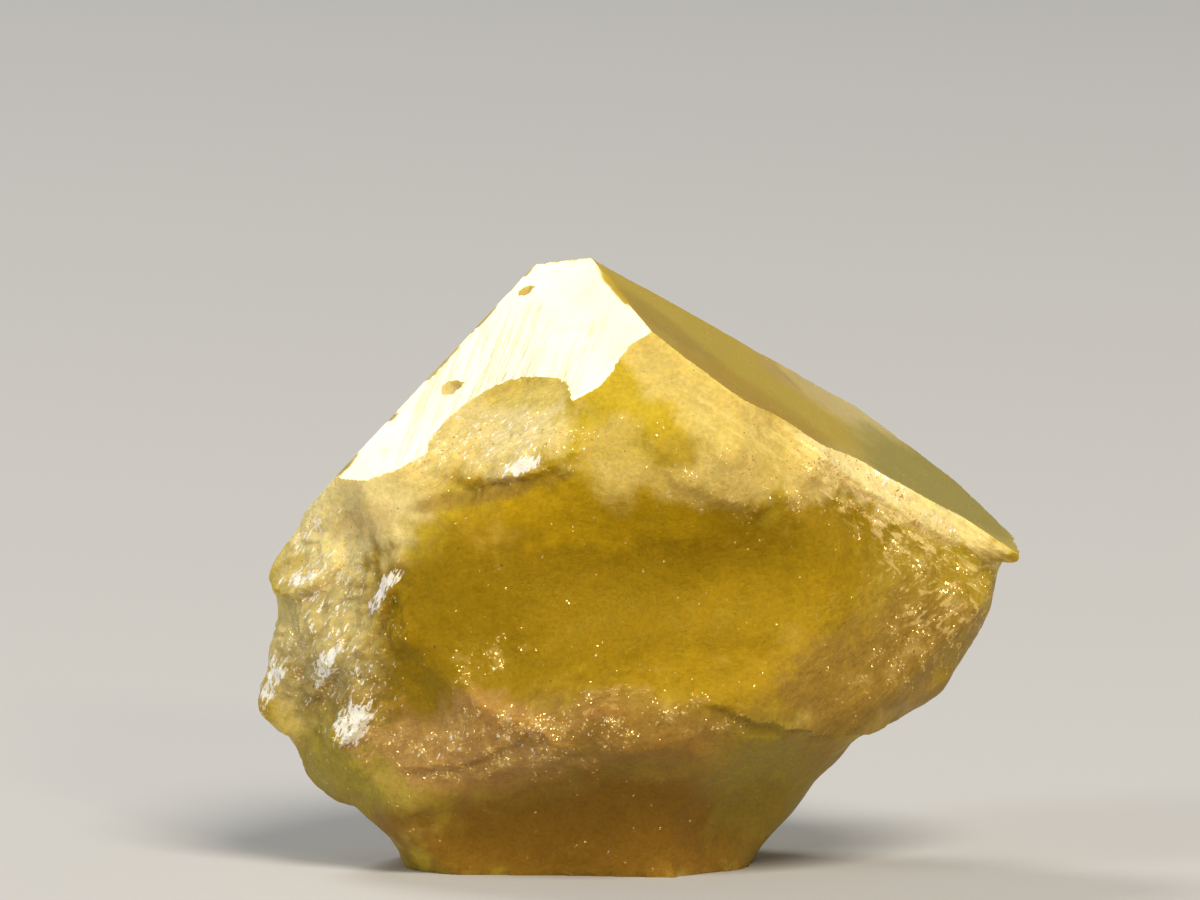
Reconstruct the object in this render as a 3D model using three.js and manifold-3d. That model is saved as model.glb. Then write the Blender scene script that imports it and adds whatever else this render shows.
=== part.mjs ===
// A broken rhodizite crystal, standing on its broken foot. Two fresh crystal faces meet in a ridge
// at the top, the back keeps four more, and the rest is conchoidal fracture.
// Millimetres. +X to the right along the longest side, +Y to the back, +Z up,
// origin under the middle of the box.

import * as THREE from 'three';
import Module from 'manifold-3d';
import { ConvexGeometry } from 'three/addons/geometries/ConvexGeometry.js';
import { ImprovedNoise } from 'three/addons/math/ImprovedNoise.js';
import { mergeVertices } from 'three/addons/utils/BufferGeometryUtils.js';

const wasm = await Module();
wasm.setup();

// Driving dimensions

// The outline is drawn as seen by an eye that looks slightly down on the crystal.
const EYE_ELEVATION_DEG = 5;
const HEART = { across: 0, up: 6 };
const PEAK = [ - 1.0, 1.8, 12.05 ];
const BASE_HEIGHT = 0;

// Flat faces: the way each one looks, and one point that it passes through.
const FLAT_FACES = {
	bright: { normal: [ - 0.43, - 0.42, 0.80 ], through: PEAK },
	broad: { normal: [ 0.54, - 0.10, 0.83 ], through: PEAK },
	wornPeak: { normal: [ 0.02, 0.30, 0.95 ], through: [ - 1.2, 2.0, 12.0 ] },
	backLeft: { normal: [ - 0.741, 0.077, 0.667 ], through: [ - 5.75, - 0.78, 8.24 ] },
	backTop: { normal: [ 0.28, 0.49, 0.83 ], through: PEAK },
	backRight: { normal: [ 0.57, 0.76, 0.32 ], through: [ 4.3, 4.2, 8.84 ] },
	rightTip: { normal: [ 0.86, 0.51, 0.0 ], through: [ 6.5, 3.0, 7.27 ] },
	back: { normal: [ - 0.10, 0.98, - 0.16 ], through: [ 0, 4.9, 6.5 ] },
	base: { normal: [ 0, 0, - 1 ], through: [ 0, 0, BASE_HEIGHT ] }
};

// The broken outline, clockwise from the lower end of the bright face: across, up, and depth of the rim.
// Its upper points lie outside the flat faces, which cut it there.
const OUTLINE = [
	[ - 5.85, 8.15, 0.4 ], [ - 5.6, 9.6, 1.0 ], [ - 3.0, 12.6, 2.6 ], [ - 0.8, 13.3, 2.6 ],
	[ 2.5, 12.0, 2.8 ], [ 6.0, 9.4, 2.4 ], [ 7.9, 7.3, 1.4 ], [ 7.35, 6.2, 0.9 ],
	[ 7.2, 6.0, 0.8 ], [ 7.0, 5.1, 0.7 ], [ 6.6, 4.3, 0.6 ], [ 6.05, 3.5, 0.5 ], [ 5.05, 2.9, 0.2 ],
	[ 4.2, 2.6, 0.0 ], [ 4.05, 2.3, 0.4 ], [ 3.7, 1.9, 0.6 ], [ 3.3, 1.5, 0.7 ], [ 3.15, 1.05, 0.7 ],
	[ 2.7, 0.7, 0.7 ], [ 2.2, 0.1, 0.6 ], [ 1.6, - 0.9, 0.6 ], [ - 4.5, - 0.9, 0.4 ],
	[ - 4.95, 0.55, 0.3 ], [ - 5.55, 1.1, 0.2 ], [ - 6.2, 1.25, 0.1 ], [ - 6.55, 1.7, 0.1 ],
	[ - 7.0, 2.3, 0.0 ], [ - 7.55, 2.9, - 0.1 ], [ - 7.7, 3.3, 0.0 ], [ - 7.4, 4.5, 0.1 ],
	[ - 7.2, 5.25, 0.2 ], [ - 7.4, 5.5, 0.0 ], [ - 7.25, 6.1, 0.1 ], [ - 6.85, 6.75, 0.2 ],
	[ - 6.5, 7.35, 0.3 ]
];

// Spot depths of the two broken sides before the flakes come off: across, up, depth.
const FRONT_SPOTS = [
	[ - 5.3, 7.8, - 2.0 ], [ - 3.9, 8.3, - 1.9 ], [ - 2.5, 9.6, - 1.5 ], [ - 1.2, 9.2, - 2.7 ],
	[ 0.0, 10.5, - 1.8 ], [ 1.0, 10.0, - 2.3 ], [ 1.8, 9.4, - 2.7 ], [ 2.9, 8.8, - 2.0 ],
	[ 4.5, 8.0, - 1.1 ], [ 5.6, 7.3, - 0.8 ], [ 6.5, 6.8, - 0.6 ], [ 7.2, 6.4, - 0.2 ],
	[ - 1.6, 8.3, - 2.9 ], [ 0.0, 8.7, - 3.0 ], [ 1.6, 8.1, - 3.2 ], [ 3.2, 7.7, - 2.6 ],
	[ - 4.4, 6.1, - 2.8 ], [ - 4.8, 4.3, - 2.9 ], [ - 5.8, 5.3, - 2.0 ], [ - 6.8, 6.1, - 0.9 ],
	[ - 6.8, 3.3, - 1.0 ], [ - 5.8, 2.5, - 2.2 ], [ 0.0, 6.1, - 3.4 ], [ - 2.4, 5.8, - 3.3 ],
	[ 2.6, 5.9, - 3.1 ], [ 0.0, 3.3, - 4.2 ], [ - 2.4, 2.7, - 3.9 ], [ 2.4, 3.3, - 3.7 ],
	[ 4.0, 3.5, - 2.7 ], [ 5.2, 4.9, - 1.8 ], [ 6.4, 5.3, - 0.9 ], [ 4.2, 6.1, - 2.4 ],
	[ - 3.8, 1.3, - 2.8 ], [ - 1.6, 1.3, - 3.7 ], [ 1.2, 1.3, - 3.4 ], [ 2.8, 1.3, - 2.0 ],
	[ - 1.6, - 0.5, - 3.4 ]
];
const BACK_SPOTS = [
	[ 0, 11.5, 4.4 ], [ - 4.0, 9.5, 3.6 ], [ 4.0, 9.5, 4.9 ], [ 6.6, 7.6, 3.8 ], [ 0, 8.0, 5.6 ],
	[ - 6.0, 6.0, 2.6 ], [ 6.2, 5.4, 3.0 ], [ - 3.0, 5.5, 5.2 ], [ 3.0, 5.5, 5.3 ], [ - 6.2, 3.0, 2.2 ],
	[ 4.6, 3.4, 2.9 ], [ - 3.0, 2.0, 4.2 ], [ 0, 2.5, 4.8 ], [ 2.4, 1.4, 3.3 ], [ - 1.5, - 0.6, 3.6 ]
];

// Flake scars: across, up, half width, depth of the scar below the surface.
const FRONT_FLAKES = [
	[ - 2.3, 8.9, 1.25, 0.22 ], [ 4.8, 6.1, 2.2, 0.20 ], [ 5.0, 4.2, 1.9, 0.16 ], [ - 5.6, 6.4, 1.3, 0.18 ],
	[ - 5.8, 4.7, 1.4, 0.20 ], [ - 5.4, 2.9, 1.4, 0.18 ], [ - 3.9, 1.6, 1.5, 0.16 ]
];
const BACK_FLAKES = [
	[ - 3.0, 4.4, 2.8, 0.40 ], [ 3.2, 4.8, 2.8, 0.40 ], [ - 1.6, 1.6, 2.6, 0.35 ], [ - 4.0, 2.6, 1.9, 0.25 ]
];

// The great hollows of the front: centre, half sizes, the turn about the line of sight
// and the swing about the upright.
const HOLLOWS = [
	{ centre: [ - 0.8, - 5.8, 6.2 ], half: [ 6.0, 3.5, 2.7 ], turnDeg: 5, swingDeg: 6 },
	{ centre: [ 2.7, - 5.0, 6.1 ], half: [ 3.9, 2.9, 2.1 ], turnDeg: - 8, swingDeg: - 14 },
	{ centre: [ - 2.8, - 5.8, 5.0 ], half: [ 2.9, 3.1, 2.1 ], turnDeg: 20, swingDeg: 14 },
	{ centre: [ 0.2, - 5.9, 0.4 ], half: [ 9.0, 3.6, 2.6 ], turnDeg: - 1, swingDeg: - 14 },
	{ centre: [ 4.2, - 4.0, 0.65 ], half: [ 4.0, 3.4, 2.3 ], turnDeg: - 3, swingDeg: - 25 }
];

// Pits in the bright face: across, up, half width, half height.
const PITS = [
	[ - 3.80, 9.54, 0.26, 0.17 ], [ - 2.30, 11.50, 0.16, 0.14 ], [ - 2.04, 10.26, 0.09, 0.07 ],
	[ - 0.80, 10.60, 0.11, 0.07 ], [ - 4.28, 9.60, 0.12, 0.10 ]
];

// The small spur at the right end of the broad face, a wedge with a blunt point.
const SPUR = {
	tip: [ 7.58, 0.1, 6.12 ],
	root: [ 6.3, 0.5, 6.6 ],
	halfDepth: 0.6,
	halfHeight: 0.4,
	bluntness: [ 0, - 0.35, - 0.12 ],
	shoulder: { back: 0.12, near: 0.25, far: 1.3, rise: 0.5 }
};

// How a broken surface runs: the unevenness of the lump, of a flake scar and of a hollow,
// and its two lengths.
const UNEVENNESS = { lump: 0.11, scar: 0.055, hollow: 0.12 };
const RIPPLE_LENGTH = 1.3;
const FINE_RIPPLES = { perRipple: 2.3, height: 0.30, shift: 7 };

// How the two sides meet at the outline: blunt, with notches that die out within a short way.
const ROUNDING = 8;
const NOTCH_DEPTH = 0.22;
const SMOOTHING_TURNS = [ - 0.24, - 0.12, 0, 0.12, 0.24 ];
const SPOT_REACH = 0.9;
const SPOT_FLATNESS = 0.15;
const SLOPE_STEP = 0.05;
const NEAR_RIM = 0.99;

// Fineness of the facets.
const LUMP_DETAIL = 19;
const PIT_DETAIL = 3;
const FACET_SIZE = 0.41;
const CUTTING_BLOCK = 60;

const noise = new ImprovedNoise();
const eyeSin = Math.sin( THREE.MathUtils.degToRad( EYE_ELEVATION_DEG ) );
const eyeCos = Math.cos( THREE.MathUtils.degToRad( EYE_ELEVATION_DEG ) );

// A point given across, up and in depth, as the eye sees it, in the crystal's own frame.
function fromEye( across, up, depth ) {

	return new THREE.Vector3( across, depth, ( up - depth * eyeSin ) / eyeCos );

}

// Unevenness of a broken surface, two sizes of it.
function unevenness( point, height ) {

	const p = point.clone().divideScalar( RIPPLE_LENGTH );
	const coarse = noise.noise( p.x, p.y, p.z );
	p.multiplyScalar( FINE_RIPPLES.perRipple ).addScalar( FINE_RIPPLES.shift );
	return height * ( coarse + FINE_RIPPLES.height * noise.noise( p.x, p.y, p.z ) );

}

// How far the outline lies from the heart in one direction, and how deep its rim is there.
function rimToward( angle ) {

	const dx = Math.cos( angle );
	const dy = Math.sin( angle );
	for ( let i = 0; i < OUTLINE.length; i ++ ) {

		const [ ax, ay, aDepth ] = OUTLINE[ i ];
		const [ bx, by, bDepth ] = OUTLINE[ ( i + 1 ) % OUTLINE.length ];
		const px = ax - HEART.across;
		const py = ay - HEART.up;
		const ex = bx - ax;
		const ey = by - ay;
		const across = dx * ey - dy * ex;
		const reach = ( px * ey - py * ex ) / across;
		const along = ( px * dy - py * dx ) / across;
		if ( reach > 0 && along >= 0 && along < 1 ) {

			return { reach, depth: aDepth + along * ( bDepth - aDepth ) };

		}

	}

	throw new Error( 'the outline is open' );

}

// The depth that the spots nearest to a place agree on.
function spotDepth( spots, across, up ) {

	let total = 0;
	let weights = 0;
	for ( const [ x, y, depth ] of spots ) {

		const away = Math.hypot( across - x, up - y ) / SPOT_REACH;
		const weight = Math.exp( - away ) / ( SPOT_FLATNESS + away * away );
		total += weight * depth;
		weights += weight;

	}

	return total / weights;

}

// The outline's reach away from the rim, where its corners and notches have died out.
function smoothReach( angle ) {

	let total = 0;
	for ( const turn of SMOOTHING_TURNS ) total += rimToward( angle + turn ).reach;
	return total / SMOOTHING_TURNS.length;

}

// The broken surface at one place, as a fraction of the way out from the heart to the rim.
function brokenSurface( angle, fraction, spots ) {

	const rim = rimToward( angle );
	const fromRim = Math.sqrt( Math.max( 0, 1 - fraction * fraction ) );
	const sharpness = Math.exp( - ( ( fromRim / NOTCH_DEPTH ) ** 2 ) );
	const reach = THREE.MathUtils.lerp( smoothReach( angle ), rim.reach, sharpness );
	const across = HEART.across + reach * fraction * Math.cos( angle );
	const up = HEART.up + reach * fraction * Math.sin( angle );
	const roundOff = Math.sqrt( Math.max( 0, 1 - fraction ** ROUNDING ) );
	const depth = rim.depth + ( spotDepth( spots, across, up ) - rim.depth ) * roundOff;
	return fromEye( across, up, depth );

}

function surfaceAt( across, up, spots ) {

	const angle = Math.atan2( up - HEART.up, across - HEART.across );
	const out = Math.hypot( across - HEART.across, up - HEART.up );
	return brokenSurface( angle, Math.min( NEAR_RIM, out / rimToward( angle ).reach ), spots );

}

// A closed ball of even triangles, each corner moved by a function.
function shapedBall( detail, move ) {

	const ball = new THREE.IcosahedronGeometry( 1, detail );
	ball.deleteAttribute( 'normal' );
	ball.deleteAttribute( 'uv' );
	const shaped = mergeVertices( ball );
	const corners = shaped.attributes.position;
	for ( let i = 0; i < corners.count; i ++ ) {

		const point = move( new THREE.Vector3().fromBufferAttribute( corners, i ).normalize() );
		corners.setXYZ( i, point.x, point.y, point.z );

	}

	return shaped;

}

function solid( geometry ) {

	const closed = mergeVertices( geometry );
	return new wasm.Manifold( new wasm.Mesh( {
		numProp: 3,
		vertProperties: new Float32Array( closed.attributes.position.array ),
		triVerts: new Uint32Array( closed.index.array )
	} ) );

}

// The broken lump before any flake or flat face: the front and back sides meet at the outline.
function brokenLump() {

	return solid( shapedBall( LUMP_DETAIL, ( way ) => {

		const angle = Math.atan2( way.z, way.x );
		const fraction = Math.hypot( way.x, way.z );
		const point = brokenSurface( angle, fraction, way.y < 0 ? FRONT_SPOTS : BACK_SPOTS );
		return point.addScaledVector( way, unevenness( point, UNEVENNESS.lump ) );

	} ) );

}

// A shallow round scoop centred on the surface, its hollow a little uneven.
function flakeScar( [ across, up, halfWidth, depth ], spots ) {

	const centre = surfaceAt( across, up, spots );
	const right = surfaceAt( across + SLOPE_STEP, up, spots ).sub( centre );
	const higher = surfaceAt( across, up + SLOPE_STEP, spots ).sub( centre );
	const outward = right.cross( higher ).normalize();
	if ( spots === BACK_SPOTS ) outward.negate();
	const radius = ( halfWidth * halfWidth + depth * depth ) / ( 2 * depth );
	const middle = centre.addScaledVector( outward, radius - depth );
	const detail = Math.round( radius / FACET_SIZE );
	return solid( shapedBall( detail, ( way ) => {

		const point = middle.clone().addScaledVector( way, radius );
		return point.addScaledVector( way, unevenness( point, UNEVENNESS.scar ) );

	} ) );

}

// A long hollow, an uneven ellipsoid turned about the line of sight and swung about the upright.
function hollow( { centre, half, turnDeg, swingDeg } ) {

	const detail = Math.round( half[ 0 ] / FACET_SIZE );
	const turn = THREE.MathUtils.degToRad( turnDeg );
	const swing = THREE.MathUtils.degToRad( swingDeg );
	return solid( shapedBall( detail, ( way ) => {

		const point = way.clone().multiply( new THREE.Vector3( ...half ) );
		point.applyAxisAngle( new THREE.Vector3( 0, 1, 0 ), turn );
		point.applyAxisAngle( new THREE.Vector3( 0, 0, 1 ), swing );
		point.add( new THREE.Vector3( ...centre ) );
		return point.addScaledVector( way, unevenness( point, UNEVENNESS.hollow ) );

	} ) );

}

// Everything outside one flat face, as one great block.
function outside( { normal, through } ) {

	const block = new THREE.BoxGeometry( CUTTING_BLOCK, CUTTING_BLOCK, CUTTING_BLOCK );
	block.translate( 0, 0, CUTTING_BLOCK / 2 );
	block.deleteAttribute( 'normal' );
	block.deleteAttribute( 'uv' );
	const upward = new THREE.Vector3( 0, 0, 1 );
	const outward = new THREE.Vector3( ...normal ).normalize();
	block.applyQuaternion( new THREE.Quaternion().setFromUnitVectors( upward, outward ) );
	return solid( block.translate( ...through ) );

}

// A pit in the bright face, an oval dent.
function pit( [ across, up, halfWidth, halfHeight ] ) {

	const { normal, through } = FLAT_FACES.bright;
	const outward = new THREE.Vector3( ...normal ).normalize();
	const sight = new THREE.Vector3( 0, 1, - eyeSin / eyeCos );
	const start = fromEye( across, up, 0 );
	const gap = new THREE.Vector3( ...through ).sub( start ).dot( outward ) / sight.dot( outward );
	const middle = start.addScaledVector( sight, gap );
	return solid( shapedBall( PIT_DETAIL, ( way ) => {

		const point = way.clone().multiply( new THREE.Vector3( halfWidth, halfWidth, halfHeight ) );
		return point.add( middle );

	} ) );

}

// The spur, a wedge that lies along the broad face and ends in a blunt point.
function spur( { tip, root, halfDepth, halfHeight, bluntness, shoulder } ) {

	const point = new THREE.Vector3( ...tip );
	const corners = [ point, point.clone().add( new THREE.Vector3( ...bluntness ) ) ];
	for ( const side of [ - halfDepth, halfDepth ] ) {

		const end = new THREE.Vector3( ...root ).add( new THREE.Vector3( 0, side, 0 ) );
		corners.push( end.clone().add( new THREE.Vector3( 0, 0, halfHeight ) ) );
		corners.push( end.clone().add( new THREE.Vector3( 0, 0, - halfHeight ) ) );

	}

	for ( const side of [ - shoulder.near, shoulder.far ] ) {

		const raised = new THREE.Vector3( - shoulder.back, side, shoulder.rise );
		corners.push( point.clone().add( raised ) );

	}

	const wedge = new ConvexGeometry( corners );
	wedge.deleteAttribute( 'normal' );
	return solid( wedge );

}

function crystalSolid() {

	let crystal = brokenLump();
	for ( const flake of FRONT_FLAKES ) crystal = crystal.subtract( flakeScar( flake, FRONT_SPOTS ) );
	for ( const flake of BACK_FLAKES ) crystal = crystal.subtract( flakeScar( flake, BACK_SPOTS ) );
	for ( const great of HOLLOWS ) crystal = crystal.subtract( hollow( great ) );
	crystal = crystal.add( spur( SPUR ) );
	for ( const face of Object.values( FLAT_FACES ) ) crystal = crystal.subtract( outside( face ) );
	for ( const dent of PITS ) crystal = crystal.subtract( pit( dent ) );
	return crystal;

}

function geometryOf( manifold ) {

	const { vertProperties, triVerts } = manifold.getMesh();
	const geometry = new THREE.BufferGeometry();
	geometry.setAttribute( 'position', new THREE.BufferAttribute( vertProperties, 3 ) );
	geometry.setIndex( new THREE.BufferAttribute( triVerts, 1 ) );
	return geometry;

}

// The crystal's geometry, moved so that the middle of its box is over the origin.
function centred( geometry ) {

	geometry.computeBoundingBox();
	const middle = geometry.boundingBox.getCenter( new THREE.Vector3() );
	return geometry.translate( - middle.x, - middle.y, - geometry.boundingBox.min.z );

}

const rhodizite = new THREE.MeshStandardMaterial( { color: 0xb39a2e, roughness: 0.35, metalness: 0 } );
rhodizite.flatShading = true;

const crystal = new THREE.Mesh( centred( geometryOf( crystalSolid() ) ), rhodizite );
crystal.name = 'rhodizite_crystal';

const specimen = new THREE.Group();
specimen.add( crystal );

export default specimen;
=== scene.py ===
import bpy
import bmesh
import math
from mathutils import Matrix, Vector, noise


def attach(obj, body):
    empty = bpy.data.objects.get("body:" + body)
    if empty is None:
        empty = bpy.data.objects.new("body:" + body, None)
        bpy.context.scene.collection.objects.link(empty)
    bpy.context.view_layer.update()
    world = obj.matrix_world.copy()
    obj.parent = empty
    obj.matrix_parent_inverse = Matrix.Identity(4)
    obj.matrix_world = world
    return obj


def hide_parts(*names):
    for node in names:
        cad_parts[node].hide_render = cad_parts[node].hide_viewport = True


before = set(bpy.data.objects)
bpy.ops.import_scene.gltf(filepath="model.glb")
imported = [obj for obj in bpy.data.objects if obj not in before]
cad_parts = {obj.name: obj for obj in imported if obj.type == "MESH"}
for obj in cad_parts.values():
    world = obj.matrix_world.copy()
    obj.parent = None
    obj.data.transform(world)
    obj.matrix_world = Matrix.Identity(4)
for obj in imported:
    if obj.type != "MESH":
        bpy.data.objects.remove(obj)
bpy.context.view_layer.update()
mm = 0.001  # metres
print("stage: frame loaded")


def sizedPoint(x, y, z):
    return Vector((x, y, z)) * mm


# camera: straight on the scooped front, a little above it, with a long lens
cameraView = {
    "elevation": 5.0,      # degrees above level
    "distance": 0.30,      # metres from the crystal
    "frameWidth": 0.024,   # metres across the picture at the crystal
    "centre": (-0.755, 0.0, 8.28),  # mm, what the middle of the picture shows
    "sensor": 36.0,        # mm
    "upShift": 0.05,       # mm, from a height on the crystal to the one that the front shows
}


def addCamera():
    tilt = math.radians(cameraView["elevation"])
    aim = sizedPoint(*cameraView["centre"])
    back = Vector((0, -math.cos(tilt), math.sin(tilt)))
    data = bpy.data.cameras.new("camera")
    data.sensor_width = cameraView["sensor"]
    data.lens = cameraView["sensor"] * cameraView["distance"] / cameraView["frameWidth"]
    data.clip_start = 0.01
    data.clip_end = 20.0
    camera = bpy.data.objects.new("camera", data)
    camera.location = aim + back * cameraView["distance"]
    camera.rotation_euler = (math.radians(90) - tilt, 0, 0)
    bpy.context.scene.collection.objects.link(camera)
    bpy.context.scene.camera = camera


addCamera()
print("stage: camera")


# crystal: a finer copy of the node, its broken skin given the small relief of the real one
crystalMesh = {
    "grain": 0.084,           # mm, size of the faces
    "leastFace": 0.001,       # mm2, smaller faces of the solid don't count for a plane
    "planeCosine": 0.9999,    # faces that share a plane lean no more than this
    "planeGap": 0.006,        # mm, and lie no further apart
    "doubleCosine": 0.999,    # planes that lean no more than this are one
    "flatArea": 1.5,          # mm2, natural faces larger than this stay flat
    "flatReach": 0.045,       # mm, skin this close to a flat face is laid on it
    "flatLean": 0.6,          # least cosine between that skin and the flat face
    "smoothing": 4,           # turns over all the broken skin
    "sharpFrom": 30.0,        # degrees, edges sharper than this shade as edges
    "fadeRings": 4,           # rings of faces over which the relief fades out at a flat face
    "underFlat": 0.1,         # mm, relief that rises this far past a flat face is cut back to it
    "frontEnd": 1.5,          # mm, patches and steps of the front end this far back
    "backHackle": (1.0, 0.10, 1.3),  # mm back where it begins, least, and growth for each mm
    "chips": (0.05, 0.35),    # mm deep, mm long, along the edges of the flat faces
    "swell": (0.040, 1.7),    # mm high, mm long
    "hackle": (0.060, 0.60),
    "grit": (0.012, 0.24),
    "striae": (0.050, 0.36),
    "terraces": (0.055, 1.1),
}

# how strong the hackle is in the patches below
hackleShares = {"leftHackle": 1.5, "lip": 0.7, "underBright": 1.2, "rightEnd": 0.5}

# patches of the broken skin as the front shows them: middle across and up, half sizes, in mm
reliefPatches = {
    "leftHackle": (-6.0, 4.6, 1.7, 2.8),
    "lip": (-2.0, 2.4, 3.2, 0.8),
    "underBright": (-2.8, 7.9, 2.0, 0.8),
    "striae": (5.2, 7.0, 2.6, 1.1),
    "rightEnd": (6.2, 5.0, 1.2, 1.2),
}

# steps in the skin: middle, half sizes, in mm, turn in degrees, rise in mm at the crisp lower side
skinSteps = {
    "leftPlate": ((-6.7, 6.0), (0.85, 0.62), 25, 0.26),
    "upperLobe": ((1.95, 8.7), (1.95, 1.55), -20, 0.13),
    "ledge": ((-2.4, 8.3), (1.7, 0.62), 14, 0.14),
    "leftShard": ((-5.3, 5.2), (1.2, 0.36), 62, 0.18),
    "midShard": ((-6.2, 4.2), (0.9, 0.34), 68, 0.16),
    "lowShard": ((-5.8, 3.0), (0.7, 0.45), 55, 0.20),
    "lipLeft": ((-3.4, 2.5), (1.5, 0.42), 18, 0.12),
    "lipRight": ((3.0, 3.3), (2.1, 0.55), -10, 0.14),
    "rightRidge": ((4.9, 7.6), (2.6, 0.35), -33, 0.10),
}

# places with softer arrises than the solid has: middle, half sizes, in mm, and turns of smoothing
softened = {
    "bowlRim": ((0.6, 5.6, 6.0, 2.9), 160),
    "foot": ((0.6, 1.1, 3.6, 1.3), 120),
    "underBright": ((-2.4, 8.6, 1.6, 0.9), 40),
}


def seenPlace(place):
    # across and up, in mm, as the front view shows them
    tilt = math.radians(cameraView["elevation"])
    up = (place.z * math.cos(tilt) + place.y * math.sin(tilt)) / mm
    return place.x / mm, up + cameraView["upShift"]


def patchWeight(patch, place):
    # 1 inside the patch, fading out over its wobbling edge
    fadeEnd, fadeWidth = 1.2, 0.4  # shares of the half size
    across, up, halfAcross, halfUp = patch
    seenAcross, seenUp = seenPlace(place)
    away = math.hypot((seenAcross - across) / halfAcross, (seenUp - up) / halfUp)
    wobble = 0.3 * noise.noise(place / mm * 0.9)
    weight = min(1.0, max(0.0, (fadeEnd - away - wobble) / fadeWidth))
    return weight if place.y < crystalMesh["frontEnd"] * mm else 0.0


def height(plane, place):
    return (place - plane["point"]).dot(plane["normal"])


def flatPlanes(node):
    # sums the area of the node's faces that share a plane; one that is found twice counts once
    planes = []
    bm = bmesh.new()
    bm.from_mesh(node.data)
    for face in bm.faces:
        area = face.calc_area() / mm ** 2
        if area < crystalMesh["leastFace"]:
            continue
        middle = face.calc_center_median()
        for plane in planes:
            level = plane["normal"].dot(face.normal) > crystalMesh["planeCosine"]
            if level and abs(height(plane, middle)) < crystalMesh["planeGap"] * mm:
                plane["area"] += area
                break
        else:
            planes.append({"normal": face.normal.copy(), "point": middle, "area": area})
    bm.free()
    large = []
    for plane in planes:
        isNew = all(plane["normal"].dot(other["normal"]) < crystalMesh["doubleCosine"] for other in large)
        if isNew and plane["area"] > crystalMesh["flatArea"]:
            large.append(plane)
    return large


def remeshed(node):
    # even small faces all over, from a merged copy of the node
    mesh = node.data.copy()
    bm = bmesh.new()
    bm.from_mesh(mesh)
    bmesh.ops.remove_doubles(bm, verts=bm.verts, dist=0.002 * mm)
    bm.to_mesh(mesh)
    bm.free()
    rough = bpy.data.objects.new("roughCrystal", mesh)
    bpy.context.scene.collection.objects.link(rough)
    even = rough.modifiers.new("even", "REMESH")
    even.mode = "VOXEL"
    even.voxel_size = crystalMesh["grain"] * mm
    evaluated = rough.evaluated_get(bpy.context.evaluated_depsgraph_get())
    bm = bmesh.new()
    bm.from_mesh(evaluated.to_mesh())
    bpy.data.objects.remove(rough)
    return bm


def planesUnder(vert, planes):
    reach = crystalMesh["flatReach"] * mm
    near = [plane for plane in planes if abs(height(plane, vert.co)) < reach]
    return [plane for plane in near if vert.normal.dot(plane["normal"]) > crystalMesh["flatLean"]]


def layOnPlanes(bm, planes):
    # lays the skin on the flat faces; where two meet, turns bring it to the line between them
    turnsAtEdge = 8
    under = {}
    for vert in bm.verts:
        found = planesUnder(vert, planes)
        if found:
            under[vert] = found
    for vert, found in under.items():
        for turn in range(turnsAtEdge if len(found) > 1 else 1):
            for plane in found:
                vert.co -= plane["normal"] * height(plane, vert.co)
    return under


def stepRise(step, place):
    # a wedge that is highest at its lower side and breaks off there
    edgeWidth = 0.14  # share of the half size
    (across, up), (halfAcross, halfUp), turn, rise = step
    seenAcross, seenUp = seenPlace(place)
    wobble = 0.12 * noise.noise(place / mm * 2.1) + 0.06 * noise.noise(place / mm * 5.3)
    turnBy = math.radians(turn)
    awayAcross, awayUp = seenAcross - across, seenUp - up
    along = (awayAcross * math.cos(turnBy) + awayUp * math.sin(turnBy)) / halfAcross
    over = (awayUp * math.cos(turnBy) - awayAcross * math.sin(turnBy)) / halfUp
    inside = min(1.0, max(0.0, (1.0 - math.hypot(along, over) + wobble) / edgeWidth))
    wedge = min(1.0, max(0.0, 0.55 - 0.5 * over))
    return rise * inside * wedge if place.y < crystalMesh["frontEnd"] * mm else 0.0


def terraced(value):
    # the same slope broken into treads and crisp risers
    tread, riser = 0.72, 0.28
    whole = math.floor(value)
    return whole + min(1.0, max(0.0, (value - whole - tread) / riser))


def reliefAt(place):
    # height of the small relief at one place of the broken skin
    spot = place / mm
    weights = {name: patchWeight(patch, place) for name, patch in reliefPatches.items()}
    swellHeight, swellLength = crystalMesh["swell"]
    rise = swellHeight * noise.noise(spot / swellLength)
    hackleHeight, hackleLength = crystalMesh["hackle"]
    hackle = max(share * weights[name] for name, share in hackleShares.items())
    backFrom, backLeast, backGrowth = crystalMesh["backHackle"]
    hackle = max(hackle, backLeast + backGrowth * min(1.0, max(0.0, spot.y - backFrom)))
    cells = noise.voronoi(spot / hackleLength + Vector((0, 0, 0.4 * noise.noise(spot))))[0]
    rise += hackle * hackleHeight * (cells[1] - cells[0] - 0.3)
    rise += sum(stepRise(step, place) for step in skinSteps.values())
    terraceHeight, terraceLength = crystalMesh["terraces"]
    slope = 3.0 * noise.noise(spot / terraceLength) + 0.5 * noise.noise(spot / terraceLength * 3.1)
    rise += terraceHeight * (terraced(slope) - slope * 0.4) * hackle
    # ripples that run along the broad face's edge
    striaHeight, striaLength = crystalMesh["striae"]
    acrossStriae = spot.x * 0.54 + spot.z * 0.84 + 0.3 * noise.noise(spot * 0.8)
    alongStriae = (spot.x * 0.84 - spot.z * 0.54) * 0.25
    streak = noise.noise(Vector((acrossStriae / striaLength, alongStriae, spot.y * 0.5)))
    rise += striaHeight * streak * weights["striae"]
    gritHeight, gritLength = crystalMesh["grit"]
    rise += gritHeight * noise.noise(spot / gritLength) * (0.4 + hackle)
    return rise * mm


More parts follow.
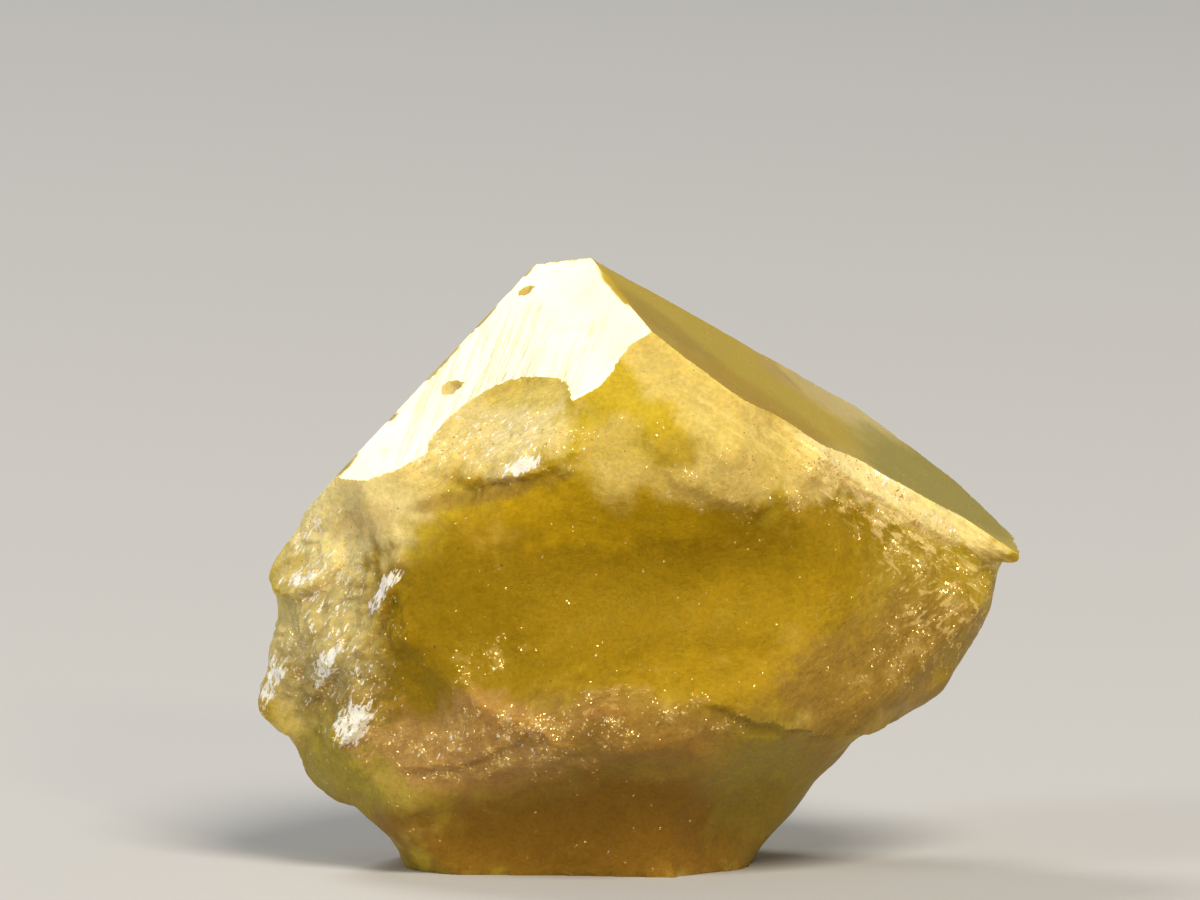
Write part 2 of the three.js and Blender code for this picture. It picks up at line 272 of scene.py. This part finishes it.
def ringsFrom(verts, rings):
    # how many rings of faces lie between each vertex and the given ones
    ring = {vert: 0 for vert in verts}
    front = list(verts)
    for number in range(1, rings + 1):
        beyond = []
        for vert in front:
            for edge in vert.link_edges:
                other = edge.other_vert(vert)
                if other not in ring:
                    ring[other] = number
                    beyond.append(other)
        front = beyond
    return ring


def chipEdges(under):
    # small nicks along the edges of the flat faces
    depth, length = crystalMesh["chips"]
    for vert, found in under.items():
        if len(found) > 1 and min(plane["normal"].z for plane in found) > -0.9:
            shortNick = max(0.0, noise.noise(vert.co / mm / length) - 0.1)
            longNick = max(0.0, noise.noise(vert.co / mm / length / 4))
            inward = sum((plane["normal"] for plane in found), Vector()).normalized()
            vert.co -= inward * (shortNick + longNick) * depth * mm


def smoothed(bm, verts, turns):
    for turn in range(turns):
        bmesh.ops.smooth_vert(bm, verts=verts, factor=0.5, use_axis_x=True, use_axis_y=True, use_axis_z=True)


def markFlatFaces(bm, under):
    # "flat" is 1 on the flat faces, "bright" on the one at the upper left of the front
    flat = bm.faces.layers.float.new("flat")
    bright = bm.faces.layers.float.new("bright")
    for face in bm.faces:
        shared = set(id(plane) for plane in under.get(face.verts[0], ()))
        for vert in face.verts[1:]:
            shared &= set(id(plane) for plane in under.get(vert, ()))
        face[flat] = 1.0 if shared else 0.0
        face[bright] = 1.0 if shared and face.normal.y < -0.3 and face.normal.z > 0.5 else 0.0
    return flat


def buildCrystal():
    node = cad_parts["rhodizite_crystal"]
    planes = flatPlanes(node)
    bm = remeshed(node)
    print("flat faces:", len(planes), "even faces:", len(bm.faces))
    bm.normal_update()
    under = layOnPlanes(bm, planes)
    free = [vert for vert in bm.verts if vert not in under]
    smoothed(bm, free, crystalMesh["smoothing"])
    for patch, turns in softened.values():
        smoothed(bm, [vert for vert in free if patchWeight(patch, vert.co) > 0.5], turns)
    bm.normal_update()
    rings = ringsFrom(under, crystalMesh["fadeRings"])
    farRing = crystalMesh["fadeRings"] + 1
    moves = [vert.normal * reliefAt(vert.co) * rings.get(vert, farRing) / farRing for vert in free]
    for vert, move in zip(free, moves):
        vert.co += move
        for plane in planes:
            if 0 < height(plane, vert.co) < crystalMesh["underFlat"] * mm:
                vert.co -= plane["normal"] * height(plane, vert.co)
    chipEdges(under)
    bm.normal_update()
    flat = markFlatFaces(bm, under)
    sharpFrom = math.radians(crystalMesh["sharpFrom"])
    for edge in bm.edges:
        between = len(edge.link_faces) == 2 and edge.link_faces[0][flat] != edge.link_faces[1][flat]
        edge.smooth = not between and edge.calc_face_angle(0.0) < sharpFrom
    openEdges = [edge for edge in bm.edges if not edge.is_manifold]
    print("faces on flats:", int(sum(face[flat] for face in bm.faces)), "open edges:", len(openEdges))
    mesh = bpy.data.meshes.new("crystal")
    bm.to_mesh(mesh)
    bm.free()
    for polygon in mesh.polygons:
        polygon.use_smooth = True
    return mesh


crystalData = buildCrystal()
crystal = bpy.data.objects.new("crystal", crystalData)
bpy.context.scene.collection.objects.link(crystal)
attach(crystal, "root")
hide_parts("rhodizite_crystal")
print("stage: crystal mesh")


# studio: pale round floor that sweeps up far away, soft lights
studio = {
    "floorRadius": 1.5,      # metres, as are the next two
    "rimHeight": 0.7,
    "rimBend": 0.5,
    "floorSides": 96,
    "bendSteps": 16,
    "floorColour": (0.48, 0.48, 0.475, 1),
    "floorRoughness": 0.7,
    "skyColour": (0.90, 0.95, 1.0, 1),
    "skyStrength": 0.22,
    "lightAim": 6,           # mm above the floor
    "lightDistance": 0.7,    # metres
}

# direction from the crystal, disc size in metres, watts
lightSetup = {
    "key": {"from": (-0.42, 0.586, 0.694), "size": 0.24, "power": 2.0, "colour": (1.0, 0.98, 0.95)},
    "front": {"from": (0.30, -0.66, 0.85), "size": 0.32, "power": 5.15, "colour": (1.0, 0.92, 0.80)},
    "spark": {"from": (0.30, -0.85, 0.35), "size": 0.070, "power": 0.85, "colour": (1.0, 0.72, 0.38)},
    "left": {"from": (-0.85, -0.45, 0.35), "size": 0.20, "power": 1.6, "colour": (0.95, 0.98, 1.0)},
}


def addFloor():
    bm = bmesh.new()
    bmesh.ops.create_circle(bm, cap_ends=True, radius=studio["floorRadius"], segments=studio["floorSides"])
    corner = list(bm.edges)
    raised = bmesh.ops.extrude_edge_only(bm, edges=corner)
    rim = [item for item in raised["geom"] if isinstance(item, bmesh.types.BMVert)]
    bmesh.ops.translate(bm, verts=rim, vec=(0, 0, studio["rimHeight"]))
    bmesh.ops.bevel(bm, geom=corner, offset=studio["rimBend"], segments=studio["bendSteps"], affect="EDGES",
                    profile=0.5, material=-1)
    for face in bm.faces:
        isMiddle = len(face.verts) > 4
        face.smooth = not isMiddle
        turnedIn = face.normal.z > 0 if isMiddle else face.normal.dot(face.calc_center_median()) < 0
        if not turnedIn:
            face.normal_flip()
    mesh = bpy.data.meshes.new("floor")
    bm.to_mesh(mesh)
    bm.free()
    floor = bpy.data.objects.new("floor", mesh)
    bpy.context.scene.collection.objects.link(floor)
    material = bpy.data.materials.new("paleFloor")
    material.use_nodes = True
    shader = material.node_tree.nodes["Principled BSDF"]
    shader.inputs["Base Color"].default_value = studio["floorColour"]
    shader.inputs["Roughness"].default_value = studio["floorRoughness"]
    mesh.materials.append(material)


def addLights():
    aim = sizedPoint(0, 0, studio["lightAim"])
    for name, setup in lightSetup.items():
        data = bpy.data.lights.new(name, "AREA")
        data.shape = "DISK"
        data.size = setup["size"]
        data.energy = setup["power"]
        data.color = setup["colour"]
        light = bpy.data.objects.new(name, data)
        way = Vector(setup["from"]).normalized()
        light.location = aim + way * studio["lightDistance"]
        light.rotation_euler = way.to_track_quat("Z", "Y").to_euler()
        bpy.context.scene.collection.objects.link(light)
    world = bpy.data.worlds.new("studio")
    world.use_nodes = True
    sky = world.node_tree.nodes["Background"]
    sky.inputs["Color"].default_value = studio["skyColour"]
    sky.inputs["Strength"].default_value = studio["skyStrength"]
    bpy.context.scene.world = world


addFloor()
addLights()
bpy.context.scene.view_settings.view_transform = "Standard"
print("stage: studio")


# stone: colours and finish
stone = {
    "honey": (0.46, 0.32, 0.035),
    "olive": (0.52, 0.38, 0.020),
    "green": (0.35, 0.29, 0.040),
    "deep": (0.26, 0.155, 0.002),
    "ochre": (0.44, 0.275, 0.004),
    "amber": (0.34, 0.21, 0.005),
    "frost": (0.65, 0.50, 0.140),
    "cream": (0.92, 0.76, 0.34),
    "chalk": (0.74, 0.62, 0.28),
    "tan": (0.70, 0.53, 0.17),
    "grey": (0.54, 0.45, 0.20),
    "rose": (0.43, 0.240, 0.072),
    "earth": (0.28, 0.165, 0.030),
    "brown": (0.24, 0.115, 0.012),
    "gold": (1.0, 0.70, 0.28, 1),
    # painted highlight: the white of the painted glints
    "paintedGlint": (0.95, 0.94, 0.88, 1),
    "speck": (0.10, 0.06, 0.02, 1),
    "shineTint": (1.0, 0.80, 0.12, 1),
    "faceTint": (1.0, 0.96, 0.78, 1),
    "depthTint": (0.93, 0.80, 0.08, 1),
    "depthDensity": 150.0,   # for each metre
    "refraction": 1.69,
    "shine": 0.25,
    "transmission": 0.10,
    "underglow": 0.5,        # share of light that spreads below the skin
    "underglowReach": 0.9,   # mm
    "underglowTint": (1.0, 0.6, 0.12),
    "sparkleSize": 0.034,    # mm
    "clusterSize": 0.16,     # mm, sparkles that lean the same way
    "sparkleMetal": 0.65,
    "grainSize": 0.09,       # mm
    "clumpSize": 0.38,       # mm
    "fibreSize": 0.12,       # mm across the fibres
    "glitterSize": 0.085,    # mm
    "speckSpacing": 0.55,    # mm
    "gritDepth": 0.022,      # mm
    "scratchWay": (0.42, 1.30, 0.91),  # lies in the bright face
}

# cloudy tones of the whole stone: colour, size in mm, shift of the pattern, gain, start and most
bodyClouds = [
    ("olive", 2.4, (0, 0, 0), 1.6, 0.5, 1.0),
    ("green", 3.1, (9, 0, 0), 1.8, 0.0, 0.5),
    ("frost", 1.4, (0, 9, 0), 2.8, -0.1, 0.9),
    ("rose", 1.3, (9, 9, 0), 2.0, -0.3, 0.5),
    ("deep", 2.1, (0, 0, 9), 2.6, -0.1, 0.9),
]

# tinted places of the broken front: colour, middle across and up, half sizes in mm, turn in degrees,
# strength and softness of the edge
tints = [
    ("amber", (0.3, 5.3), (7.5, 3.2), 0, 0.9, 0.9),
    ("earth", (-0.6, 1.6), (6.0, 2.2), 0, 0.8, 0.8),
    ("grey", (-6.3, 4.6), (1.3, 2.1), 10, 0.8, 0.6),
    ("chalk", (-5.6, 7.0), (1.5, 1.3), 25, 0.9, 0.6),
    ("earth", (-5.0, 2.3), (2.0, 1.2), -25, 0.85, 0.6),
    ("green", (-5.3, 2.0), (1.6, 0.9), -25, 0.7, 0.6),
    ("deep", (0.0, 5.5), (4.9, 1.9), 3, 1.0, 0.5),
    ("deep", (-3.4, 4.4), (1.8, 2.0), 20, 0.9, 0.6),
    ("ochre", (-0.6, 7.2), (2.9, 0.8), -4, 0.9, 0.6),
    ("amber", (3.1, 5.8), (1.9, 1.3), 0, 0.8, 0.8),
    ("amber", (1.6, 3.75), (2.3, 0.6), 3, 0.8, 0.6),
    ("deep", (-3.2, 4.3), (1.6, 0.9), -15, 0.6, 0.8),
    ("olive", (-0.3, 9.2), (1.6, 1.5), 0, 0.9, 0.5),
    ("frost", (1.5, 9.3), (2.3, 0.7), -33, 0.95, 0.4),
    ("frost", (2.3, 8.2), (1.4, 0.8), -20, 0.8, 0.6),
    ("tan", (1.3, 7.6), (1.7, 0.4), -8, 0.5, 0.6),
    ("tan", (-0.4, 8.1), (0.6, 0.8), 10, 0.5, 0.7),
    # pale stone, partly painted highlight: the cream band under the broad face's edge
    ("cream", (5.3, 7.5), (2.8, 0.55), -33, 0.95, 0.5),
    ("tan", (3.3, 7.7), (0.6, 0.45), 60, 0.7, 0.2),
    ("amber", (3.6, 6.8), (0.9, 0.35), -33, 0.7, 0.5),
    ("honey", (6.0, 5.2), (1.5, 1.5), 0, 0.7, 0.6),
    ("earth", (5.6, 4.6), (1.2, 1.2), 0, 0.5, 0.8),
    ("earth", (4.6, 3.9), (2.1, 1.0), 15, 0.85, 0.6),
    ("chalk", (-2.8, 8.8), (1.7, 0.9), 15, 0.75, 0.4),
    ("olive", (-2.2, 9.45), (1.0, 0.35), 5, 0.6, 0.6),
    ("frost", (-3.9, 8.1), (1.1, 0.5), 30, 0.5, 0.6),
    # painted shadow: the dark line under the overhanging ledge
    ("earth", (-3.1, 7.42), (1.5, 0.20), 12, 0.7, 0.6),
    ("earth", (-0.2, 2.8), (2.0, 0.75), -5, 0.9, 0.5),
    ("rose", (-3.2, 2.3), (2.1, 1.0), 6, 0.95, 0.5),
    ("rose", (-0.4, 2.7), (2.2, 0.6), -6, 0.35, 0.7),
    ("brown", (-0.6, 2.75), (2.2, 0.5), -6, 0.35, 0.8),
    ("rose", (-5.4, 6.9), (0.7, 0.4), 10, 0.35, 0.5),
    # painted shade: the receding foot under the lip made darker
    ("brown", (-0.6, 0.6), (4.4, 1.15), 0, 0.95, 0.6),
    ("green", (2.5, 1.5), (1.0, 1.4), 0, 0.5, 0.8),
    ("chalk", (-3.73, 9.54), (0.34, 0.22), 20, 0.7, 0.3),
    ("chalk", (-2.17, 11.52), (0.25, 0.20), 20, 0.7, 0.3),
]

# the same for the flat faces
flatTints = [
    ("olive", (0.6, 10.6), (2.4, 1.1), -33, 0.9, 0.5),
    ("honey", (1.0, 10.2), (1.3, 0.25), -33, 0.5, 0.7),
    ("chalk", (4.4, 9.1), (1.6, 0.30), -30, 0.6, 0.7),
    ("olive", (3.2, 9.1), (1.8, 0.30), -33, 0.9, 0.6),
    ("green", (5.9, 7.6), (1.8, 0.60), -33, 0.95, 0.7),
    ("ochre", (2.3, 9.35), (1.9, 0.22), -33, 0.7, 0.8),
    ("amber", (0.4, 10.9), (1.2, 0.16), -36, 0.5, 0.8),
    # painted highlight: a thin bright glint line on the broad face
    ("frost", (3.1, 9.8), (0.6, 0.07), -48, 0.7, 0.6),
]

# golden streaks whose cream is partly painted highlight, sparkling places, places with fibres, and painted white
# glints (painted highlights):
# middle, half sizes in mm, turn in degrees, strength
streakPlaces = [((5.4, 7.2), (2.8, 0.8), -33, 0.9), ((5.9, 5.7), (1.4, 0.8), -40, 0.5),
                ((2.6, 8.5), (1.8, 0.5), -33, 0.35), ((3.4, 9.5), (4.4, 1.0), -33, 0.35)]
sparklePlaces = [((-2.6, 2.5), (2.2, 0.7), 10, 0.16), ((0.4, 3.2), (1.6, 0.4), -8, 0.14),
                 ((5.0, 6.9), (2.6, 0.6), -33, 0.22), ((5.4, 4.2), (1.4, 0.7), 20, 0.12),
                 ((-6.1, 4.6), (1.0, 2.0), 10, 0.08), ((-2.6, 8.2), (1.5, 0.6), 15, 0.09),
                 ((2.0, 7.6), (1.6, 0.6), -10, 0.16), ((-3.0, 4.2), (0.7, 0.4), 20, 0.14)]
rayPlaces = [((-3.0, 9.3), (2.6, 1.5), 45, 0.6), ((4.6, 4.4), (2.4, 1.3), 28, 0.8),
             ((-5.9, 4.6), (1.3, 2.2), 15, 0.8), ((-2.9, 8.5), (1.6, 0.8), 20, 0.6),
             ((-2.9, 2.6), (2.4, 0.8), 15, 0.6)]
# painted highlights: white glints where facets of the front caught the light
paintedGlintPlaces = [((-5.06, 5.5), (0.62, 0.14), 55, 1.0), ((-6.16, 4.1), (0.55, 0.20), 65, 0.9),
               ((-5.66, 2.9), (0.45, 0.30), 60, 1.0), ((-7.35, 3.6), (0.6, 0.20), 75, 0.9),
               ((-6.76, 5.75), (0.55, 0.14), 15, 0.9), ((-2.25, 8.0), (0.38, 0.16), 20, 1.0),
               ((4.83, 7.82), (0.34, 0.11), -42, 1.0), ((-3.3, 8.6), (0.5, 0.25), 20, 0.5),
               ((-6.6, 6.6), (0.6, 0.20), 40, 0.6), ((6.0, 6.9), (0.5, 0.10), -33, 0.7),
               ((-6.2, 5.0), (1.1, 2.6), 10, 0.42), ((-2.9, 2.5), (2.2, 0.6), 10, 0.30),
               ((-3.0, 8.5), (1.6, 0.6), 20, 0.38), ((4.9, 7.7), (2.4, 0.3), -33, 0.42)]


def placeWeight(where, half, turn, soft, seen, wobble):
    turnBy = math.radians(turn)
    awayAcross, awayUp = seen[0] - where[0], seen[1] - where[1]
    along = (awayAcross * math.cos(turnBy) + awayUp * math.sin(turnBy)) / half[0]
    over = (awayUp * math.cos(turnBy) - awayAcross * math.sin(turnBy)) / half[1]
    if abs(along) > 2 or abs(over) > 2:
        return 0.0
    value = min(1.0, max(0.0, 0.5 + (1.0 - math.hypot(along, over) + wobble) / (soft + 0.05)))
    return value * value * (3 - 2 * value)


def blended(colour, name, weight):
    return [a + (b - a) * weight for a, b in zip(colour, stone[name])]


def bodyTint(spot):
    colour = stone["honey"]
    for name, size, shift, gain, start, most in bodyClouds:
        cloudy = gain * noise.noise(spot / size + Vector(shift)) + start
        colour = blended(colour, name, min(most, max(0.0, cloudy)))
    return colour


def strongest(places, soft, seen, wobble, front):
    # the greatest weight that any of the places has here
    weights = []
    for where, half, turn, strength in places:
        weights.append(strength * placeWeight(where, half, turn, soft, seen, wobble))
    return front * max(weights)


def paintCrystal(mesh):
    # broad tones and weights per vertex; the material adds the fine detail
    wobbles = ((0.45, 0.9), (0.30, 2.7), (0.15, 7.0))  # strength, waves for each mm
    paintedTo, paintedFade = 1.6, 0.8  # mm, how far back the painted places reach and over what length they fade
    leastSparkle = 0.004
    tint = mesh.attributes.new("tint", "FLOAT_COLOR", "POINT")
    flatTint = mesh.attributes.new("flatTint", "FLOAT_COLOR", "POINT")
    marks = mesh.attributes.new("marks", "FLOAT_COLOR", "POINT")
    for number, vert in enumerate(mesh.vertices):
        spot = vert.co / mm
        seen = seenPlace(vert.co)
        wobble = sum(strength * noise.noise(spot * waves) for strength, waves in wobbles)
        front = min(1.0, max(0.0, (paintedTo - spot.y) / paintedFade))
        colour = bodyTint(spot)
        flatColour = blended(colour, "frost", 0.35 + 0.2 * noise.noise(spot / 1.6))
        for name, where, half, turn, strength, soft in flatTints:
            weight = strength * placeWeight(where, half, turn, soft, seen, wobble * 0.6)
            flatColour = blended(flatColour, name, weight)
        if front:
            for name, where, half, turn, strength, soft in tints:
                weight = front * strength * placeWeight(where, half, turn, soft, seen, wobble)
                colour = blended(colour, name, weight)
            streak = strongest(streakPlaces, 0.6, seen, wobble, front)
            sparkle = max(leastSparkle, strongest(sparklePlaces, 0.6, seen, wobble, front))
            ray = strongest(rayPlaces, 0.8, seen, wobble, front)
            # painted highlights: the white glint weight, which also lowers the roughness
            paintedGlint = strongest(paintedGlintPlaces, 1.3, seen, wobble, front)
        else:
            streak, ray = 0.0, 0.0
            sparkle = max(leastSparkle, 0.35 * noise.noise(spot / 1.9))
            # painted highlights: white glint patches scattered over the back
            paintedGlint = min(0.45, max(0.0, 2.0 * noise.noise(spot / 1.1 + Vector((0, 9, 9))) - 0.5))
        tint.data[number].color = (*colour, 1)
        flatTint.data[number].color = (*flatColour, 1)
        marks.data[number].color = (streak, sparkle, paintedGlint, ray)


def crystalMaterial():
    material = bpy.data.materials.new("rhodizite")
    material.use_nodes = True
    nodes = material.node_tree.nodes
    links = material.node_tree.links
    shader = nodes["Principled BSDF"]
    output = nodes["Material Output"]
    place = nodes.new("ShaderNodeTexCoord").outputs["Object"]

    def put(socket, value):
        if isinstance(value, bpy.types.NodeSocket):
            links.new(value, socket)
        else:
            socket.default_value = value

    def painted(name, channel="Color"):
        node = nodes.new("ShaderNodeAttribute")
        node.attribute_name = name
        return node.outputs[channel]

    def parts(value):
        node = nodes.new("ShaderNodeSeparateXYZ")
        links.new(value, node.inputs["Vector"])
        return node.outputs["X"], node.outputs["Y"], node.outputs["Z"]

    def sums(kind, first, second, clamped=False):
        node = nodes.new("ShaderNodeMath")
        node.operation = kind
        node.use_clamp = clamped
        put(node.inputs[0], first)
        put(node.inputs[1], second)
        return node.outputs[0]

    def vectorSums(kind, first, second=(0, 0, 0)):
        node = nodes.new("ShaderNodeVectorMath")
        node.operation = kind
        put(node.inputs[0], first)
        put(node.inputs[1], second)
        return node.outputs["Vector"]

    def scaled(first, amount):
        node = nodes.new("ShaderNodeVectorMath")
        node.operation = "SCALE"
        put(node.inputs[0], first)
        put(node.inputs["Scale"], amount)
        return node.outputs["Vector"]

    def spanned(value, low, high, toLow=0.0, toHigh=1.0):
        node = nodes.new("ShaderNodeMapRange")
        node.interpolation_type = "SMOOTHSTEP"
        put(node.inputs["Value"], value)
        node.inputs["From Min"].default_value = low
        node.inputs["From Max"].default_value = high
        node.inputs["To Min"].default_value = toLow
        node.inputs["To Max"].default_value = toHigh
        return node.outputs["Result"]

    def cloud(length, detail, rough, where=None):
        texture = nodes.new("ShaderNodeTexNoise")
        texture.inputs["Scale"].default_value = 1 / (length * mm)
        texture.inputs["Detail"].default_value = detail
        texture.inputs["Roughness"].default_value = rough
        put(texture.inputs["Vector"], where or place)
        return texture.outputs["Fac"]

    def cells(length, where=None):
        texture = nodes.new("ShaderNodeTexVoronoi")
        texture.inputs["Scale"].default_value = 1 / (length * mm)
        put(texture.inputs["Vector"], where or place)
        return texture.outputs["Color"]

    def stretched(turn, scale):
        # the place turned about the depth axis, then drawn out along one way
        turned = nodes.new("ShaderNodeMapping")
        turned.inputs["Rotation"].default_value = (0.0, math.radians(turn), 0.0)
        links.new(place, turned.inputs["Vector"])
        drawn = nodes.new("ShaderNodeMapping")
        drawn.inputs["Scale"].default_value = scale
        links.new(turned.outputs["Vector"], drawn.inputs["Vector"])
        return drawn.outputs["Vector"]

    def drawnAlong(direction, squeeze):
        # the place turned until the direction points up, then drawn out along it
        upright = Vector(direction).rotation_difference(Vector((0, 0, 1)))
        turned = nodes.new("ShaderNodeMapping")
        turned.inputs["Rotation"].default_value = upright.to_euler()
        links.new(place, turned.inputs["Vector"])
        return vectorSums("MULTIPLY", turned.outputs["Vector"], (1, 1, squeeze))

    def mixed(first, second, factor):
        mix = nodes.new("ShaderNodeMix")
        mix.data_type = "RGBA"
        put(mix.inputs[6], first)
        put(mix.inputs[7], second)
        put(mix.inputs[0], factor)
        return mix.outputs[2]

    flat = painted("flat", "Fac")
    bright = painted("bright", "Fac")
    broken = sums("SUBTRACT", 1.0, flat)
    streakWeight, sparkleWeight, paintedGlintWeight = parts(painted("marks", "Vector"))
    rayWeight = painted("marks", "Alpha")
    grain = cloud(stone["grainSize"], 3, 0.7)
    clump = cloud(stone["clumpSize"], 3, 0.6)
    # one fibrous cloud: along the broad face's edge, crosswise on the rays, steep on the bright face
    alongEdge = stretched(-33, (0.14, 0.6, 1.0))
    alongRays = stretched(32, (0.16, 0.6, 1.0))
    way = mixed(alongEdge, alongRays, sums("GREATER_THAN", rayWeight, streakWeight))
    way = mixed(way, drawnAlong(stone["scratchWay"], 0.05), bright)
    fibre = cloud(stone["fibreSize"], 3, 0.62, way)

    # colour: the painted tones, then grain, clumps and fibres
    colour = mixed(painted("tint"), painted("flatTint"), flat)
    value = sums("ADD", sums("MULTIPLY", sums("SUBTRACT", grain, 0.5), 0.8),
                 sums("MULTIPLY", sums("SUBTRACT", clump, 0.5), 0.5))
    value = sums("ADD", 1.0, sums("MULTIPLY", value, broken))
    rayed = sums("MULTIPLY", rayWeight, sums("MAXIMUM", bright, broken))
    fibrous = sums("MAXIMUM", sums("MULTIPLY", streakWeight, broken), rayed)
    value = sums("ADD", value, sums("MULTIPLY", sums("SUBTRACT", fibre, 0.5), fibrous))
    colour = scaled(colour, value)
    frosting = sums("MULTIPLY", spanned(clump, 0.48, 0.66), sums("MULTIPLY", sparkleWeight, broken))
    frosting = sums("MULTIPLY", frosting, 1.6)
    colour = mixed(colour, (*stone["tan"], 1), frosting)
    # cream streaks along the real striae, their brightness partly painted highlight
    highlightedStreaks = sums("MULTIPLY", spanned(fibre, 0.52, 0.62), sums("MULTIPLY", streakWeight, broken))
    colour = mixed(colour, (*stone["cream"], 1), sums("MULTIPLY", highlightedStreaks, 0.7))
    # painted highlights: white glints mixed into the colour, where the roughness is lowered too
    glitter = cloud(stone["glitterSize"], 2, 0.7, stretched(60, (0.30, 1.0, 1.0)))
    glitter = sums("ADD", glitter, sums("MULTIPLY", paintedGlintWeight, 0.40))
    paintedGlint = sums("MULTIPLY", sums("MULTIPLY", spanned(glitter, 0.72, 0.86), broken), 0.9)
    colour = mixed(colour, stone["paintedGlint"], paintedGlint)
    specks = nodes.new("ShaderNodeTexVoronoi")
    specks.inputs["Scale"].default_value = 1 / (stone["speckSpacing"] * mm)
    links.new(place, specks.inputs["Vector"])
    isSpeck = sums("LESS_THAN", specks.outputs["Distance"], spanned(clump, 0.50, 0.62, 0.0, 0.07))
    colour = mixed(colour, stone["speck"], sums("MULTIPLY", sums("MULTIPLY", isSpeck, broken), 0.6))

    # sparkles: tiny bright facets in clusters that each lean their own way
    facets = cells(stone["sparkleSize"])
    clusters = cells(stone["clusterSize"], stretched(-33, (0.5, 1.0, 1.0)))
    lean = vectorSums("ADD", scaled(vectorSums("SUBTRACT", facets, (0.5, 0.5, 0.5)), 0.45),
                      scaled(vectorSums("SUBTRACT", clusters, (0.5, 0.5, 0.5)), 0.9))
    lot = nodes.new("ShaderNodeTexWhiteNoise")
    links.new(facets, lot.inputs["Vector"])
    crowded = sums("MULTIPLY", sparkleWeight, spanned(clump, 0.46, 0.64, 0.05, 1.5))
    shows = sums("MULTIPLY", sums("LESS_THAN", lot.outputs["Value"], crowded), broken)
    put(shader.inputs["Base Color"], mixed(colour, stone["gold"], shows))
    put(shader.inputs["Metallic"], sums("MULTIPLY", shows, stone["sparkleMetal"]))

    # finish: grit on the broken skin, fine scratches on the bright face
    scratched = sums("MULTIPLY", bright, sums("MULTIPLY", rayWeight, 0.30))
    scratches = sums("MULTIPLY", spanned(fibre, 0.50, 0.64), scratched)
    grit = sums("ADD", grain, sums("MULTIPLY", clump, 2.0))
    grit = sums("ADD", grit, sums("MULTIPLY", fibre, sums("MULTIPLY", fibrous, 2.5)))
    bump = nodes.new("ShaderNodeBump")
    bump.inputs["Distance"].default_value = stone["gritDepth"] * mm
    put(bump.inputs["Height"], sums("ADD", sums("MULTIPLY", grit, broken), scratches))
    tilted = vectorSums("ADD", bump.outputs["Normal"], scaled(lean, shows))
    put(shader.inputs["Normal"], vectorSums("NORMALIZE", tilted))
    brokenRoughness = sums("MULTIPLY", broken, spanned(clump, 0.35, 0.65, 0.48, 0.66))
    flatRoughness = sums("ADD", 0.26, sums("MULTIPLY", sums("SUBTRACT", clump, 0.5), 0.10))
    roughness = sums("ADD", brokenRoughness, sums("MULTIPLY", flat, flatRoughness))
    roughness = sums("SUBTRACT", roughness, sums("MULTIPLY", paintedGlint, 0.25))
    put(shader.inputs["Roughness"], sums("SUBTRACT", roughness, sums("MULTIPLY", shows, 0.40), True))

    shader.inputs["IOR"].default_value = stone["refraction"]
    shader.inputs["Specular IOR Level"].default_value = stone["shine"]
    put(shader.inputs["Specular Tint"], mixed(stone["shineTint"], stone["faceTint"], flat))
    shader.inputs["Transmission Weight"].default_value = stone["transmission"]
    shader.inputs["Subsurface Weight"].default_value = stone["underglow"]
    shader.inputs["Subsurface Radius"].default_value = stone["underglowTint"]
    shader.inputs["Subsurface Scale"].default_value = stone["underglowReach"] * mm
    absorption = nodes.new("ShaderNodeVolumeAbsorption")
    absorption.inputs["Color"].default_value = stone["depthTint"]
    absorption.inputs["Density"].default_value = stone["depthDensity"]
    links.new(absorption.outputs["Volume"], output.inputs["Volume"])
    return material


paintCrystal(crystalData)
crystalData.materials.append(crystalMaterial())
print("stage: materials")
